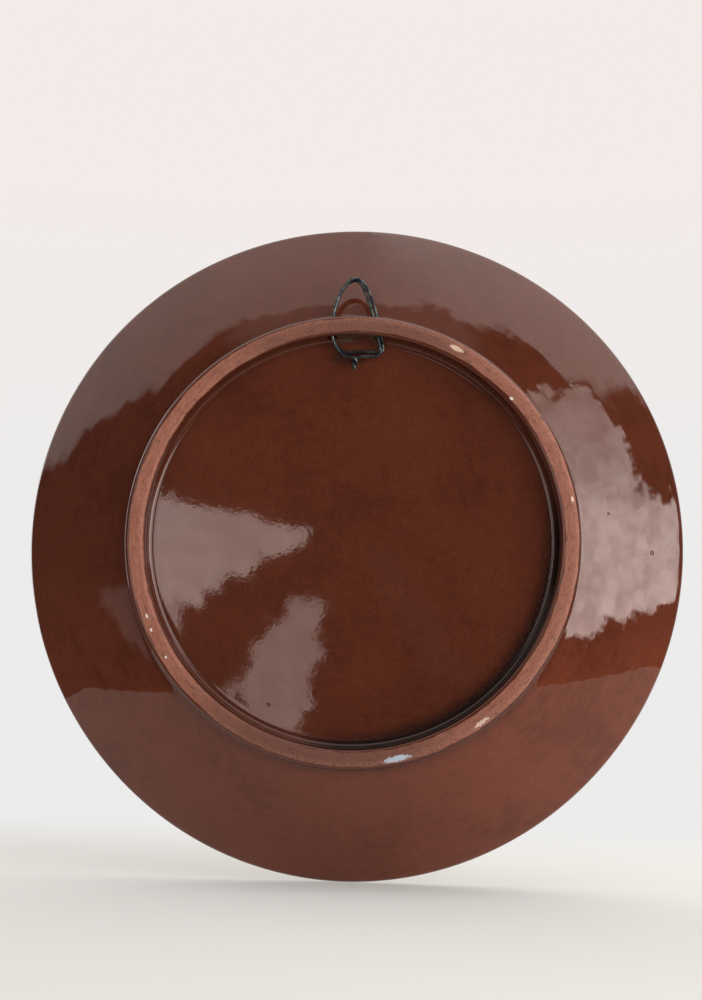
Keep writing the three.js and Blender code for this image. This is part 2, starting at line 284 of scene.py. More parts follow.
def glazedEarthenware():
    look = glazeLook
    material, make, shader = newMaterial("glazed_earthenware")
    coordinates = make.add("ShaderNodeTexCoord").outputs
    inMillimetres = make.vector("MULTIPLY", coordinates["Object"], (1 / mm, 1 / mm, 1 / mm))
    x, y, z = make.add("ShaderNodeSeparateXYZ", {0: inMillimetres}).outputs
    across = make.math("MULTIPLY", x, -1.0)
    up = make.math("SUBTRACT", z, axisUp)
    depth = make.math("SUBTRACT", footPlane, y)
    flat = make.add("ShaderNodeCombineXYZ", {0: across, 1: up}).outputs[0]
    radius = make.vector("LENGTH", flat, result="Value")
    turn = make.math("ARCTAN2", across, up)
    fine = make.noise(inMillimetres, look["fineNoise"], 3, 0.65)
    middle = make.noise(inMillimetres, look["middleNoise"], 3, 0.55)
    broad = make.noise(inMillimetres, look["broadNoise"], 2, 0.5)

    # long streaks round the axis, as brushing and throwing leave them
    streakPlace = make.add("ShaderNodeCombineXYZ", {
        0: make.math("MULTIPLY", radius, look["streaksAcross"]),
        1: make.math("MULTIPLY", turn, look["streaksAround"]),
        2: make.math("MULTIPLY", depth, look["streaksDown"])}).outputs[0]
    streaks = make.noise(streakPlace, 1.0, 3, 0.6)

    tone = make.total(*(make.math("MULTIPLY", noise, share)
                        for noise, share in zip((broad, streaks, middle), look["toneShares"])))
    glaze = make.mix(make.rise(tone, 0.36, 0.52), look["deepGlaze"], look["glaze"])
    glaze = make.mix(make.rise(tone, 0.5, 0.68, 0, 0.55), glaze, look["paleGlaze"])
    specks = make.add("ShaderNodeTexVoronoi", {"Vector": inMillimetres, "Scale": look["speckNoise"]})
    speck = make.product(make.rise(specks.outputs["Distance"], 0.1, 0.2, 1, 0),
                         make.rise(middle, 0.5, 0.62), 0.5)
    glaze = make.mix(speck, glaze, look["dirt"])
    grainy = make.math("MULTIPLY", make.rise(fine, 0.5, 0.64), make.rise(streaks, 0.35, 0.6, 0.15, 0.5))
    glaze = make.mix(grainy, glaze, look["speck"])
    # painted light: the rim's lower half is made paler, most at the lower right, for the light that the floor
    # throws up onto it
    paintedBounceLight = make.product(make.rise(up, -5, -75), make.rise(across, -20, 100, 0.5, 1.0),
                           make.rise(radius, 108, 114))
    glaze = make.mix(paintedBounceLight, glaze, make.mix(1.0, glaze, look["paintedBounceLight"], "MULTIPLY"))

    # bare clay: the flat of the ring and its outer shoulder, with a wavering edge
    waver = make.math("SUBTRACT", make.noise(streakPlace, 0.9, 3, 0.65), 0.5)
    offCentre = make.vector("SUBTRACT", flat, (look["bareShift"], 0, 0))
    wipedRadius = make.math("ADD", make.vector("LENGTH", offCentre, result="Value"),
                            make.math("MULTIPLY", waver, look["bareWaver"]))
    bare = make.math("MULTIPLY", make.between(wipedRadius, look["bareInside"], look["bareOutside"], 0.22),
                     make.rise(depth, *look["bareDepth"], 1, 0))
    clayTone = make.total(make.math("MULTIPLY", fine, 0.6), make.math("MULTIPLY", streaks, 0.5))
    clay = make.mix(make.rise(clayTone, 0.42, 0.72), look["clay"], look["paleClay"])
    # darker at the top and the bottom of the ring than at its sides
    middling = make.rise(make.math("ABSOLUTE", across), 25, 90, 0.75, 0.0)
    clay = make.mix(make.math("MULTIPLY", make.rise(broad, 0.4, 0.6, 0.4, 1.0), middling),
                    clay, look["darkClay"])
    low = make.math("MULTIPLY", make.rise(up, -55, -100, 0, 0.7), make.rise(across, 20, 60, 1, 0))
    clay = make.mix(low, clay, look["darkClay"])
    grime = make.rise(make.noise(streakPlace, 2.4, 3, 0.7), 0.54, 0.66, 0, 0.75)
    clay = make.mix(grime, clay, look["clayGrime"])
    worn = make.math("MULTIPLY", make.rise(radius, 104.2, 106.0, 0, 0.5), make.rise(fine, 0.4, 0.6))
    clay = make.mix(worn, clay, look["paleClay"])
    colour = make.mix(bare, glaze, clay)
    dull = bare

    # chips and pits, on the back alone
    facing = make.add("ShaderNodeSeparateXYZ", {0: coordinates["Normal"]}).outputs[1]
    onBack = make.rise(facing, -0.2, -0.05)
    pushed = make.vector("ADD", flat, make.add("ShaderNodeCombineXYZ", {0: waver, 1: middle}).outputs[0])
    frayed = make.math("SUBTRACT", fine, 0.5)
    for mark in marks:
        # the ring is turned until the mark is at its top, so the mark's length lies along the ring
        turned = make.add("ShaderNodeVectorRotate", {
            "Vector": pushed, "Center": (0, 0, 0), "Axis": (0, 0, 1), "Angle": math.atan2(*mark["at"]),
        }, rotation_type="AXIS_ANGLE").outputs[0]
        away = make.vector("SUBTRACT", turned, (0.5, math.hypot(*mark["at"]) + 0.5, 0))
        shares = make.vector("MULTIPLY", away, (2 / mark["size"][0], 2 / mark["size"][1], 0))
        reach = make.vector("LENGTH", shares, result="Value")
        ragged = make.math("ADD", reach, make.math("MULTIPLY", frayed, 2.2 * mark["ragged"]))
        there = make.math("MULTIPLY", make.rise(ragged, 0.75, 1.0, 0.85, 0), onBack)
        colour = make.mix(there, colour, mark["colour"])
        dull = make.math("MAXIMUM", dull, there)
    pitted = 0.0
    for pit in pits:
        distance = make.vector("DISTANCE", flat, (*pit["at"], 0), result="Value")
        there = make.math("MULTIPLY", make.rise(distance, pit["size"] * 0.2, pit["size"] * 0.6, 1, 0), onBack)
        colour = make.mix(make.math("MULTIPLY", there, 0.6), colour, look["pit"])
        pitted = make.math("MAXIMUM", pitted, there)

    # painted shade: the ring's inner wall and the recess beside it are darkened, most at the lower right,
    # where they face away from the light; the dark colour is partly glaze gathered there as well
    wall = look["wallRadius"]
    lowerRight = make.rise(make.math("SUBTRACT", across, up), 55, 125)
    inside = make.math("MULTIPLY", make.rise(radius, wall - 1.5, wall, 1, 0), onBack)
    onWall = make.product(make.rise(radius, wall - 3.9, wall - 2.3),
                          make.rise(radius, wall + 0.5, wall + 1.7, 1, 0),
                          make.rise(depth, 0.4, 1.6), make.rise(lowerRight, 0.05, 0.6, 0.25, 0.95))
    colour = make.mix(onWall, colour, look["pooledGlazeAndShade"])
    nearWall = make.product(make.rise(radius, wall - 10.5, wall - 2), make.rise(depth, 6.5, 8.3), inside,
                            lowerRight)
    # painted shade and dirt: the recess close to the wall is darkened, with specks
    dirtAndShade = make.math("MULTIPLY", nearWall, make.rise(fine, 0.35, 0.6, 0.55, 1.0))
    colour = make.mix(dirtAndShade, colour, look["pooledGlazeAndShade"])
    dull = make.math("MAXIMUM", dull, make.math("MULTIPLY", dirtAndShade, 0.12))

    # a dark deposit and a painted shadow of the wire on the recess under the wire's lower bends
    fromStain = make.vector("SUBTRACT", flat, (*look["stainAt"], 0))
    stainReach = make.vector("LENGTH", make.vector("MULTIPLY", fromStain, (*look["stainShape"], 0)),
                             result="Value")
    stainAndShadow = make.product(make.rise(stainReach, 0.45, 1.1, 0.75, 0), inside, make.rise(depth, 7.0, 8.2))
    colour = make.mix(stainAndShadow, colour, look["stainAndShadow"])

    # brown deposit from the wire, on the ring's inner wall between the holes
    byWire = make.product(make.between(across, *look["rustAcross"], 2.5),
                          make.between(up, *look["rustUp"], 3),
                          onBack, make.rise(depth, 0.6, 2.0), make.rise(depth, 8.6, 7.8))
    rusty = make.math("MULTIPLY", byWire, make.rise(middle, 0.4, 0.55))
    colour = make.mix(rusty, colour, look["rust"])
    dull = make.math("MAXIMUM", dull, make.math("MULTIPLY", rusty, 0.8))

    roughness = make.mix(dull, (look["glazeRoughness"],) * 3, (look["clayRoughness"],) * 3)
    roughness = make.math("ADD", roughness, make.rise(middle, 0.45, 0.75, 0, look["roughnessSpread"]))
    make.tree.links.new(colour, shader.inputs["Base Color"])
    make.tree.links.new(roughness, shader.inputs["Roughness"])
    shader.inputs["IOR"].default_value = 1.52
    shader.inputs["Specular Tint"].default_value = (*look["sheen"], 1)

    # orange-peel skin on the glaze, grain on the clay, and the pits
    skin = make.math("MULTIPLY", make.noise(inMillimetres, look["skinNoise"], 2, 0.5), look["skin"])
    dimpled = make.math("SUBTRACT", skin, make.math("MULTIPLY", pitted, look["pitDepth"]))
    glossy = make.math("SUBTRACT", 1.0, dull)
    smooth = make.add("ShaderNodeBump", {"Height": dimpled, "Strength": glossy, "Distance": mm})
    grain = make.noise(inMillimetres, look["fineNoise"], 2, 0.6)
    rough = make.add("ShaderNodeBump", {"Height": grain, "Strength": dull, "Distance": look["grain"] * mm,
                                        "Normal": smooth.outputs[0]})
    make.tree.links.new(rough.outputs[0], shader.inputs["Normal"])
    return material


# The platter itself

throwing = {
    "rimRipple": 0.006, "recessRipple": 0.0008, "faceRipple": 0.018, "ripplePitch": 7.5, "finerPitch": 0.61,
    "rimSway": 0.035, "swayFades": (12, 6), "warp": 0.57, "warpAngle": 66,  # three low places round the rim
    "trim": 0.06,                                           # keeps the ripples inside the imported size
    "rimStart": 112, "rimWidth": 53, "recessEnd": 96,       # radii between the ripples' zones
    "holeSpacing": 21.8, "holeRadius": 2.4, "holeDepth": 4.6, "holeTilt": 10, "holeSides": 48,
}


def warped(radius, angle):
    # the rim's radius with its three low places
    t = throwing
    share = np.clip((radius - t["rimStart"]) / t["rimWidth"], 0, 1) ** 1.5
    lowPlaces = t["warp"] * (1 - np.cos(3 * (angle - math.radians(t["warpAngle"]))))
    return radius - share * (lowPlaces + t["trim"])


def sectionNormals(points):
    along = np.gradient(points, axis=0)
    along /= np.linalg.norm(along, axis=1)[:, None]
    return np.stack([along[:, 1], -along[:, 0]], axis=1)


def platterMesh(material):
    t = throwing
    turns = platterSizes["turns"]
    angles = np.arange(turns) * 2 * math.pi / turns
    normals = sectionNormals(section)
    ring = section[1:-1]
    radius = ring[:, 0][:, None]
    depth = ring[:, 1][:, None]
    index = np.arange(1, len(section) - 1)[:, None]
    angle = angles[None, :]
    faceSide = index < lipIndex
    rimSide = ~faceSide & (radius > t["rimStart"])
    inRecess = ~faceSide & (radius < t["recessEnd"])
    amount = faceSide * t["faceRipple"] + rimSide * t["rimRipple"] + inRecess * t["recessRipple"]
    spiral = 2 * math.pi * radius / t["ripplePitch"] + angle
    second = 2 * math.pi * radius / (t["ripplePitch"] * t["finerPitch"]) - 2 * angle + 1.1
    ripple = amount * (np.sin(spiral) + 0.5 * np.sin(second + np.sin(3 * angle)))
    ripple = ripple * np.clip(radius / 12, 0, 1)
    sway = t["rimSway"] * (rimSide | (faceSide & (radius > t["rimStart"]))) * (
        np.sin(2 * angle + 0.7 + radius / 19) + 0.7 * np.sin(5 * angle - 1.3 - radius / 13))
    rimRadius = platterSizes["rimDiameter"] / 2
    inner, outer = t["swayFades"]
    fading = np.clip((radius - t["rimStart"]) / inner, 0, 1) * np.clip((rimRadius - radius) / outer, 0, 1)
    push = ripple + sway * fading
    deepest = platterSizes["platterHeight"] - t["trim"]
    outRadius = warped(radius, angle) + push * normals[1:-1, 0][:, None]
    outDepth = np.minimum(depth + push * normals[1:-1, 1][:, None], deepest)
    points = inPlace(outRadius * np.sin(angle), outDepth, outRadius * np.cos(angle)).reshape(-1, 3)
    poles = inPlace(0, section[[0, -1], 1], 0)
    points = np.vstack([points, np.broadcast_to(poles, (2, 3))])
    rows = len(ring)
    i = np.arange(rows - 1)[:, None] * turns
    j = np.arange(turns)[None, :]
    k = (j + 1) % turns
    quads = np.stack([i + j, i + k, i + turns + k, i + turns + j], axis=-1).reshape(-1, 4)
    faces = quads[:, ::-1].tolist()
    first, last = rows * turns, rows * turns + 1
    for a in range(turns):
        b = (a + 1) % turns
        faces.append((first, b, a)[::-1])
        faces.append((last, (rows - 1) * turns + a, (rows - 1) * turns + b)[::-1])
    return meshPiece("glazed_platter", points, faces, material)


def drillMesh(side):
    # a cylinder through the top of the foot ring, tilted as the right-hand hole is
    t = throwing
    footRadius = platterSizes["footDiameter"] / 2
    draft = platterSizes["footDraft"] * t["holeDepth"]
    holeAcross = t["holeSpacing"] / 2
    top = math.sqrt((footRadius + draft) ** 2 - holeAcross ** 2)
    bottom = math.sqrt((footRadius - platterSizes["footWidth"] - draft) ** 2 - holeAcross ** 2)
    tilt = math.radians(t["holeTilt"]) if side > 0 else 0
    points, faces = [], []
    reach = top - bottom
    for end in (-1, 1):
        for s in range(t["holeSides"]):
            angle = 2 * math.pi * s / t["holeSides"]
            sideways = t["holeRadius"] * math.cos(angle)
            inward = t["holeRadius"] * math.sin(angle)
            across = side * holeAcross + sideways * math.cos(tilt) - end * reach * math.sin(tilt)
            up = (top + bottom) / 2 + end * reach * math.cos(tilt) + sideways * math.sin(tilt)
            points.append(inPlace(across, t["holeDepth"] + inward, up))
    sides = t["holeSides"]
    for s in range(sides):
        faces.append((s, (s + 1) % sides, sides + (s + 1) % sides, sides + s))
    faces.append(tuple(range(sides))[::-1])
    faces.append(tuple(range(sides, 2 * sides)))
    return points, faces


def pierceHoles(platter):
    for side in (-1, 1):
        points, faces = drillMesh(side)
        drill = meshPiece("drill", points, faces, platter.data.materials[0])
        cut = platter.modifiers.new("hole", "BOOLEAN")
        cut.operation = "DIFFERENCE"
        cut.solver = "EXACT"
        cut.object = drill
        evaluated = platter.evaluated_get(bpy.context.evaluated_depsgraph_get())
        pierced = bpy.data.meshes.new_from_object(evaluated)
        platter.modifiers.remove(cut)
        old = platter.data
        platter.data = pierced
        bpy.data.meshes.remove(old)
        drillData = drill.data
        bpy.data.objects.remove(drill)
        bpy.data.meshes.remove(drillData)
    platter.data.shade_smooth()
    platter.data.set_sharp_from_angle(angle=math.radians(platterSizes["sharpAngle"]))


# Slip trailed on the face: plain rings, a wave and dots, hidden from behind

slipDecor = {
    "rings": [156.0, 122.0, 96.0, 88.0, 24.0], "width": 3.2, "height": 0.5, "sunk": 0.35,
    "ringSteps": 240, "ringSway": (0.25, 0.15), "waveSteps": 900, "beadSteps": 9,
    "waveRadius": 139.5, "waveSwing": 9.0, "waves": 16, "waveWidth": 4.2,
    "dotRadius": 2.3, "middleDot": 4.0, "outerDots": 148.0, "innerDots": 131.0, "dotSides": 20,
    # a dot's outline, as shares of its radius and heights, and the height of its top
    "dotProfile": [(1.0, 0.0), (0.88, 0.24), (0.62, 0.42), (0.3, 0.52)], "dotTop": 0.55,
    "cream": (0.72, 0.55, 0.30), "buff": (0.52, 0.33, 0.15), "thin": (0.30, 0.13, 0.05),
}


def creamSlip():
    look = slipDecor
    material, make, shader = newMaterial("trailed_slip")
    place = make.add("ShaderNodeTexCoord").outputs["Object"]
    broad = make.noise(place, 35, 4, 0.6)
    fine = make.noise(place, 420, 5, 0.6)
    colour = make.mix(make.rise(broad, 0.38, 0.62), look["buff"], look["cream"])
    colour = make.mix(make.rise(fine, 0.55, 0.75, 0, 0.55), colour, look["thin"])
    make.tree.links.new(colour, shader.inputs["Base Color"])
    make.tree.links.new(make.rise(fine, 0.3, 0.8, 0.1, 0.24), shader.inputs["Roughness"])
    shader.inputs["IOR"].default_value = 1.52
    bump = make.add("ShaderNodeBump", {"Height": make.math("ADD", broad, make.math("MULTIPLY", fine, 0.2)),
                                       "Strength": 0.25, "Distance": mm})
    make.tree.links.new(bump.outputs[0], shader.inputs["Normal"])
    return material


def onFace(across, up, rise):
    # a place on the warped face, raised off its surface
    radius, angle = np.hypot(across, up), np.arctan2(across, up)
    depth = np.minimum(faceDepth(radius) + rise, platterSizes["platterHeight"] - throwing["trim"])
    radius = warped(radius, angle)
    return inPlace(radius * np.sin(angle), depth, radius * np.cos(angle))


def trailPoints(radiusOf, count, width):
    # a closed bead of slip along radius = radiusOf(angle), with a rounded top and a sunk bottom
    look = slipDecor
    angles = np.arange(count) * 2 * math.pi / count
    radii = np.array([radiusOf(a) for a in angles])
    middle = np.stack([radii * np.sin(angles), radii * np.cos(angles)], axis=1)
    along = np.roll(middle, -1, axis=0) - np.roll(middle, 1, axis=0)
    along /= np.linalg.norm(along, axis=1)[:, None]
    sideways = np.stack([along[:, 1], -along[:, 0]], axis=1)
    wobble = 1 + 0.07 * np.sin(7 * angles + radii[0]) + 0.05 * np.sin(17 * angles + 2.0)
    top = [(-math.cos(a), math.sin(a)) for a in np.linspace(0, math.pi, look["beadSteps"])]
    profile = top + [(1, -look["sunk"] / look["height"]), (-1, -look["sunk"] / look["height"])]
    points = []
    for share, rise in profile:
        spot = middle + sideways * (share * width / 2 * wobble)[:, None]
        points.append(onFace(spot[:, 0], spot[:, 1], rise * look["height"]))
    return np.array(points).reshape(-1, 3), len(profile), count


def slipTrails(material):
    look = slipDecor
    points, faces = [], []

    def addTrail(radiusOf, count, width):
        new, sides, steps = trailPoints(radiusOf, count, width)
        start = len(points)
        points.extend(new.tolist())
        for s in range(sides):
            for k in range(steps):
                a, b = start + s * steps + k, start + s * steps + (k + 1) % steps
                c, d = (start + ((s + 1) % sides) * steps + (k + 1) % steps,
                        start + ((s + 1) % sides) * steps + k)
                faces.append((a, b, c, d))

    def addDot(across, up, size):
        start = len(points)
        levels = [(1.0, -look["sunk"])] + look["dotProfile"]
        sides = look["dotSides"]
        for share, rise in levels:
            for k in range(sides):
                angle = 2 * math.pi * k / sides
                sideways, upward = size * share * math.sin(angle), size * share * math.cos(angle)
                points.append(onFace(across + sideways, up + upward, rise).tolist())
        points.append(onFace(across, up, look["dotTop"]).tolist())
        for level in range(len(levels) - 1):
            for k in range(sides):
                a, b = start + level * sides + k, start + level * sides + (k + 1) % sides
                faces.append((a, b, b + sides, a + sides))
        last = start + (len(levels) - 1) * sides
        for k in range(sides):
            faces.append((last + k, last + (k + 1) % sides, len(points) - 1))
        faces.append(tuple(start + k for k in range(sides))[::-1])

    slow, quick = look["ringSway"]
    for radius in look["rings"]:
        addTrail(lambda a, r=radius: r + slow * math.sin(3 * a) + quick * math.sin(8 * a + 1),
                 look["ringSteps"], look["width"])
    addTrail(lambda a: look["waveRadius"] + look["waveSwing"] * math.sin(look["waves"] * a),
             look["waveSteps"], look["waveWidth"])
    for k in range(look["waves"]):
        for share, radius in ((0.75, look["outerDots"]), (0.25, look["innerDots"])):
            angle = (k + share) * 2 * math.pi / look["waves"]
            addDot(radius * math.sin(angle), radius * math.cos(angle), look["dotRadius"])
    addDot(0, 0, look["middleDot"])
    return meshPiece("slip_trails", points, faces, material)


# Hanger wire, bent by hand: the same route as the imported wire

wireSizes = {
    "wireDiameter": 1.5, "strandGap": 0.3, "holeClearance": 0.75, "holeSlack": 0.3, "clayOverHole": 2.2,
    "loopRise": 20.5, "loopLean": 2.6, "floorClearance": 1.2, "crossingDrop": 6.6,
    "twistDrop": 10.1, "twistAcross": 0.4, "twistLength": 6, "twistTurns": 0.9, "twistStart": 0.15,
    "twistSway": 1.3, "twistLift": 1.1, "shortEnd": 0.6,
    "sides": 18, "steps": 760, "twistSteps": 14, "finerSteps": 40,
    "wear": 0.015, "nipped": 0.8,                   # how far the wire's thickness varies, and its cut ends
}
# across in shares of half the holes' spacing, and up or down in shares of the rise and the drops
loopBends = [(1, 0), (0.86, 0.26), (0.73, 0.48), (0.55, 0.7), (0.35, 0.88), (0, 1), (-0.34, 0.92),
             (-0.54, 0.78), (-0.71, 0.6), (-0.87, 0.34), (-1, 0)]
crossingBends = [(-0.86, 0.42), (-0.7, 0.78), (-0.48, 1), (0.15, 1), (0.75, 0.98), (1.12, 1.02),
                 (1.25, 0.85), (1.22, 0.42)]
rightEndBends = [(0.34, 0.91), (0.6, 0.9), (0.98, 0.88), (1.14, 0.72), (1.1, 0.39)]
leftEndBends = [(-0.92, 0.3), (-0.76, 0.58), (-0.56, 0.82), (-0.38, 0.91), (-0.2, 0.95)]


def smoothShare(value, low, high):
    share = min(1.0, max(0.0, (value - low) / (high - low)))
    return share * share * (3 - 2 * share)


def wireRoute():
    w, p, holes = wireSizes, platterSizes, throwing
    wireRadius = w["wireDiameter"] / 2
    pitch = w["wireDiameter"] + w["strandGap"]
    holeAcross = holes["holeSpacing"] / 2
    holeDepth = w["clayOverHole"] + pitch / 2 + wireRadius + w["holeClearance"]
    footRadius = p["footDiameter"] / 2
    draft = p["footDraft"] * holeDepth
    ringTop = math.sqrt((footRadius + draft) ** 2 - holeAcross ** 2)
    ringBottom = math.sqrt((footRadius - p["footWidth"] - draft) ** 2 - holeAcross ** 2)
    holeLean = math.tan(math.radians(holes["holeTilt"])) * (ringTop - ringBottom) / 2
    outerFoot = holeAcross - holeLean - w["holeSlack"]
    innerFoot = holeAcross + holeLean + w["holeSlack"]
    topBend = max(range(len(loopBends)), key=lambda i: loopBends[i][1])
    crossingDepth = p["recessDepth"] - w["floorClearance"] - wireRadius
    endDepth = crossingDepth - pitch

    outerTurn = []
    for i, (across, up) in enumerate(loopBends):
        right = i < topBend
        foot = outerFoot + pitch / 2 if right else holeAcross
        footDepth = holeDepth if right else holeDepth - pitch / 2
        depth = footDepth + (holeDepth + w["loopLean"] - footDepth) * smoothShare(up, 0, 1)
        outerTurn.append(inPlace(across * foot, depth, ringTop + w["loopRise"] * up))

    innerTurn = []
    for i, point in enumerate(outerTurn):
        along = outerTurn[min(i + 1, len(outerTurn) - 1)] - outerTurn[max(i - 1, 0)]
        inward = np.array([along[2], 0, -along[0]])
        inward /= np.linalg.norm(inward)
        if i in (0, len(outerTurn) - 1):
            inward = np.array([1.0, 0, 0])
        slip = math.pi / 2 * smoothShare(i, 1, topBend + 2)
        innerTurn.append(point + inward * pitch * math.cos(slip) - np.array([0, pitch * math.sin(slip), 0]))

    def twist(side):
        count = w["twistSteps"]
        kept = count if side > 0 else round(w["shortEnd"] * count)
        spots = []
        for i in range(kept + 1):
            share = i / count
            angle = 2 * math.pi * (w["twistStart"] + w["twistTurns"] * share)
            out = side * pitch / 2
            spots.append(inPlace(w["twistAcross"] - w["twistSway"] * share + out * math.cos(angle),
                                 endDepth - w["twistLift"] * share + out * math.sin(angle),
                                 ringBottom - w["twistDrop"] - w["twistLength"] * share))
        return spots

    def bent(bends, drop, depth):
        return [inPlace(across * holeAcross, depth, ringBottom - drop * down) for across, down in bends]

    return np.array([
        *twist(1)[::-1],
        *bent(rightEndBends, w["twistDrop"], endDepth),
        inPlace(innerFoot - pitch / 2, holeDepth, ringBottom),
        *innerTurn,
        inPlace(-holeAcross, holeDepth + pitch / 2, ringBottom),
        *bent(crossingBends, w["crossingDrop"], crossingDepth),
        inPlace(innerFoot + pitch / 2, holeDepth, ringBottom),
        *outerTurn,
        inPlace(-holeAcross, holeDepth - pitch / 2, ringBottom),
        *bent(leftEndBends, w["twistDrop"], endDepth),
        *twist(-1),
    ])


def smoothCurve(points, steps):
    # centripetal curve through the points, at even distances along it
    full = np.vstack([2 * points[0] - points[1], points, 2 * points[-1] - points[-2]])
    dense = []
    for i in range(len(points) - 1):
        p0, p1, p2, p3 = full[i:i + 4]
        t1 = math.sqrt(np.linalg.norm(p1 - p0))
        t2 = t1 + math.sqrt(np.linalg.norm(p2 - p1))
        t3 = t2 + math.sqrt(np.linalg.norm(p3 - p2))
        for t in np.linspace(t1, t2, wireSizes["finerSteps"], endpoint=False):
            a1 = (t1 - t) / t1 * p0 + t / t1 * p1
            a2 = (t2 - t) / (t2 - t1) * p1 + (t - t1) / (t2 - t1) * p2
            a3 = (t3 - t) / (t3 - t2) * p2 + (t - t2) / (t3 - t2) * p3
            b1 = (t2 - t) / t2 * a1 + t / t2 * a2
            b2 = (t3 - t) / (t3 - t1) * a2 + (t - t1) / (t3 - t1) * a3
            dense.append((t2 - t) / (t2 - t1) * b1 + (t - t1) / (t2 - t1) * b2)
    dense = np.array(dense + [points[-1]])
    lengths = np.concatenate([[0], np.cumsum(np.linalg.norm(np.diff(dense, axis=0), axis=1))])
    even = np.linspace(0, lengths[-1], steps + 1)
    return np.stack([np.interp(even, lengths, dense[:, k]) for k in range(3)], axis=1)


def hangerWire(material):
    w = wireSizes
    route = smoothCurve(wireRoute(), w["steps"])
    along = np.gradient(route, axis=0)
    along /= np.linalg.norm(along, axis=1)[:, None]
    sideways = np.cross(along[0], [0, 1, 0])
    sideways /= np.linalg.norm(sideways)
    points, faces = [], []
    sides = w["sides"]
    for i, (centre, way) in enumerate(zip(route, along)):
        sideways = sideways - way * (sideways @ way)
        sideways /= np.linalg.norm(sideways)
        other = np.cross(way, sideways)
        worn = 1 - w["wear"] + w["wear"] * math.sin(i * 0.37) * math.sin(i * 0.11)
        size = w["wireDiameter"] / 2 * worn
        if i in (0, w["steps"]):
            size *= w["nipped"]
        for k in range(sides):
            angle = 2 * math.pi * k / sides
            points.append(centre + size * (math.cos(angle) * sideways + math.sin(angle) * other))
    for i in range(w["steps"]):
        for k in range(sides):
            a, b = i * sides + k, i * sides + (k + 1) % sides
            faces.append((a, b, b + sides, a + sides))
    faces.append(tuple(range(sides))[::-1])
    faces.append(tuple(w["steps"] * sides + k for k in range(sides)))
    return meshPiece("iron_hanger", points, faces, material)


wireLook = {
    "iron": (0.030, 0.036, 0.044), "paleIron": (0.17, 0.19, 0.175), "grime": (0.035, 0.024, 0.016),
    "metallic": 0.85,
}


def ironWire():
    look = wireLook
    material, make, shader = newMaterial("iron_wire")
    place = make.add("ShaderNodeTexCoord").outputs["Object"]
    broad = make.noise(place, 260, 3, 0.5)
    fine = make.noise(place, 1500, 5, 0.65)
    colour = make.mix(make.rise(broad, 0.45, 0.65, 0, 0.7), look["iron"], look["paleIron"])
    colour = make.mix(make.rise(fine, 0.52, 0.66, 0, 0.8), colour, look["grime"])
    make.tree.links.new(colour, shader.inputs["Base Color"])
    make.tree.links.new(make.rise(fine, 0.3, 0.7, 0.22, 0.48), shader.inputs["Roughness"])
    shader.inputs["Metallic"].default_value = look["metallic"]
    bump = make.add("ShaderNodeBump", {"Height": fine, "Strength": 0.6, "Distance": 0.00025})
    make.tree.links.new(bump.outputs[0], shader.inputs["Normal"])
    return material


# Floor, studio light and camera

studio = {
    "floorLeft": (0.47, 0.458, 0.44), "floorRight": (0.57, 0.558, 0.536), "floorGlow": (0.25, 0.245, 0.234),
    "floorSides": (0.25, -0.3),                     # across the floor, from its darker side, painted shade, to its paler side
    "floorLine": (-0.08, -0.30), "fadeFrom": 0.7, "fadeTo": 1.5,
    # the part of the floor that shows in the glaze
    "nearOutline": [(-0.5, -1.4), (-0.5, 0.056), (-0.221, 0.144), (0.198, 0.118), (0.34, 0.038),
                    (0.34, -1.4)],
    "background": (0.84, 0.835, 0.83), "backgroundTop": (0.9, 0.83, 0.81), "backgroundRise": (4, 26),
    "floorGap": 0.4,                                # millimetres below the platter's lowest point
}


def floorMaterial():
    look = studio
    material, make, shader = newMaterial("studio_floor")
    place = make.add("ShaderNodeTexCoord").outputs["Object"]
    x, y = make.add("ShaderNodeSeparateXYZ", {0: place}).outputs[:2]
    # painted shade: the floor's colour is darker on its left side
    colour = make.mix(make.rise(x, *look["floorSides"]), look["floorLeft"], look["floorRight"])
    grain = make.noise(place, 900, 3, 0.5)
    colour = make.mix(make.rise(grain, 0.3, 0.7, 0, 0.04), colour, (0.6, 0.57, 0.55))
    # beyond the line the floor glows as the background does, so that the two join
    far = make.rise(y, *look["floorLine"])
    colour = make.mix(far, colour, (0, 0, 0))
    glow = make.mix(far, look["floorGlow"], look["background"])
    make.tree.links.new(colour, shader.inputs["Base Color"])
    make.tree.links.new(glow, shader.inputs["Emission Color"])
    shader.inputs["Emission Strength"].default_value = 1.0
    shader.inputs["Roughness"].default_value = 0.9
    shader.inputs["Specular IOR Level"].default_value = 0.0
    away = make.vector("LENGTH", make.vector("MULTIPLY", place, (1, 1, 0)), result="Value")
    shown = make.rise(away, look["fadeFrom"], look["fadeTo"], 1, 0)
    make.tree.links.new(shown, shader.inputs["Alpha"])
    return material


def buildFloor():
    look = studio
    low = lowest.z / mm - look["floorGap"]
    edge = look["fadeTo"] / mm + 100
    material = floorMaterial()
    near = [(x / mm, y / mm, low) for x, y in look["nearOutline"]]
    outer = [(-edge, -edge, low), (-edge, edge, low), (edge, edge, low), (edge, -edge, low)]
    floorNear = meshPiece("floor_near", near, [tuple(range(len(near)))[::-1]], material)
    # the rest of the floor, as quads and triangles round the near outline
    first = len(outer)
    faces = [(0, 1, first + 1, first), (1, first + 2, first + 1), (1, 2, first + 3, first + 2),
             (2, first + 4, first + 3), (2, 3, first + 5, first + 4), (3, 0, first, first + 5)]
    floorAround = meshPiece("floor_around", outer + near, [face[::-1] for face in faces], material)
    floorAround.visible_glossy = False


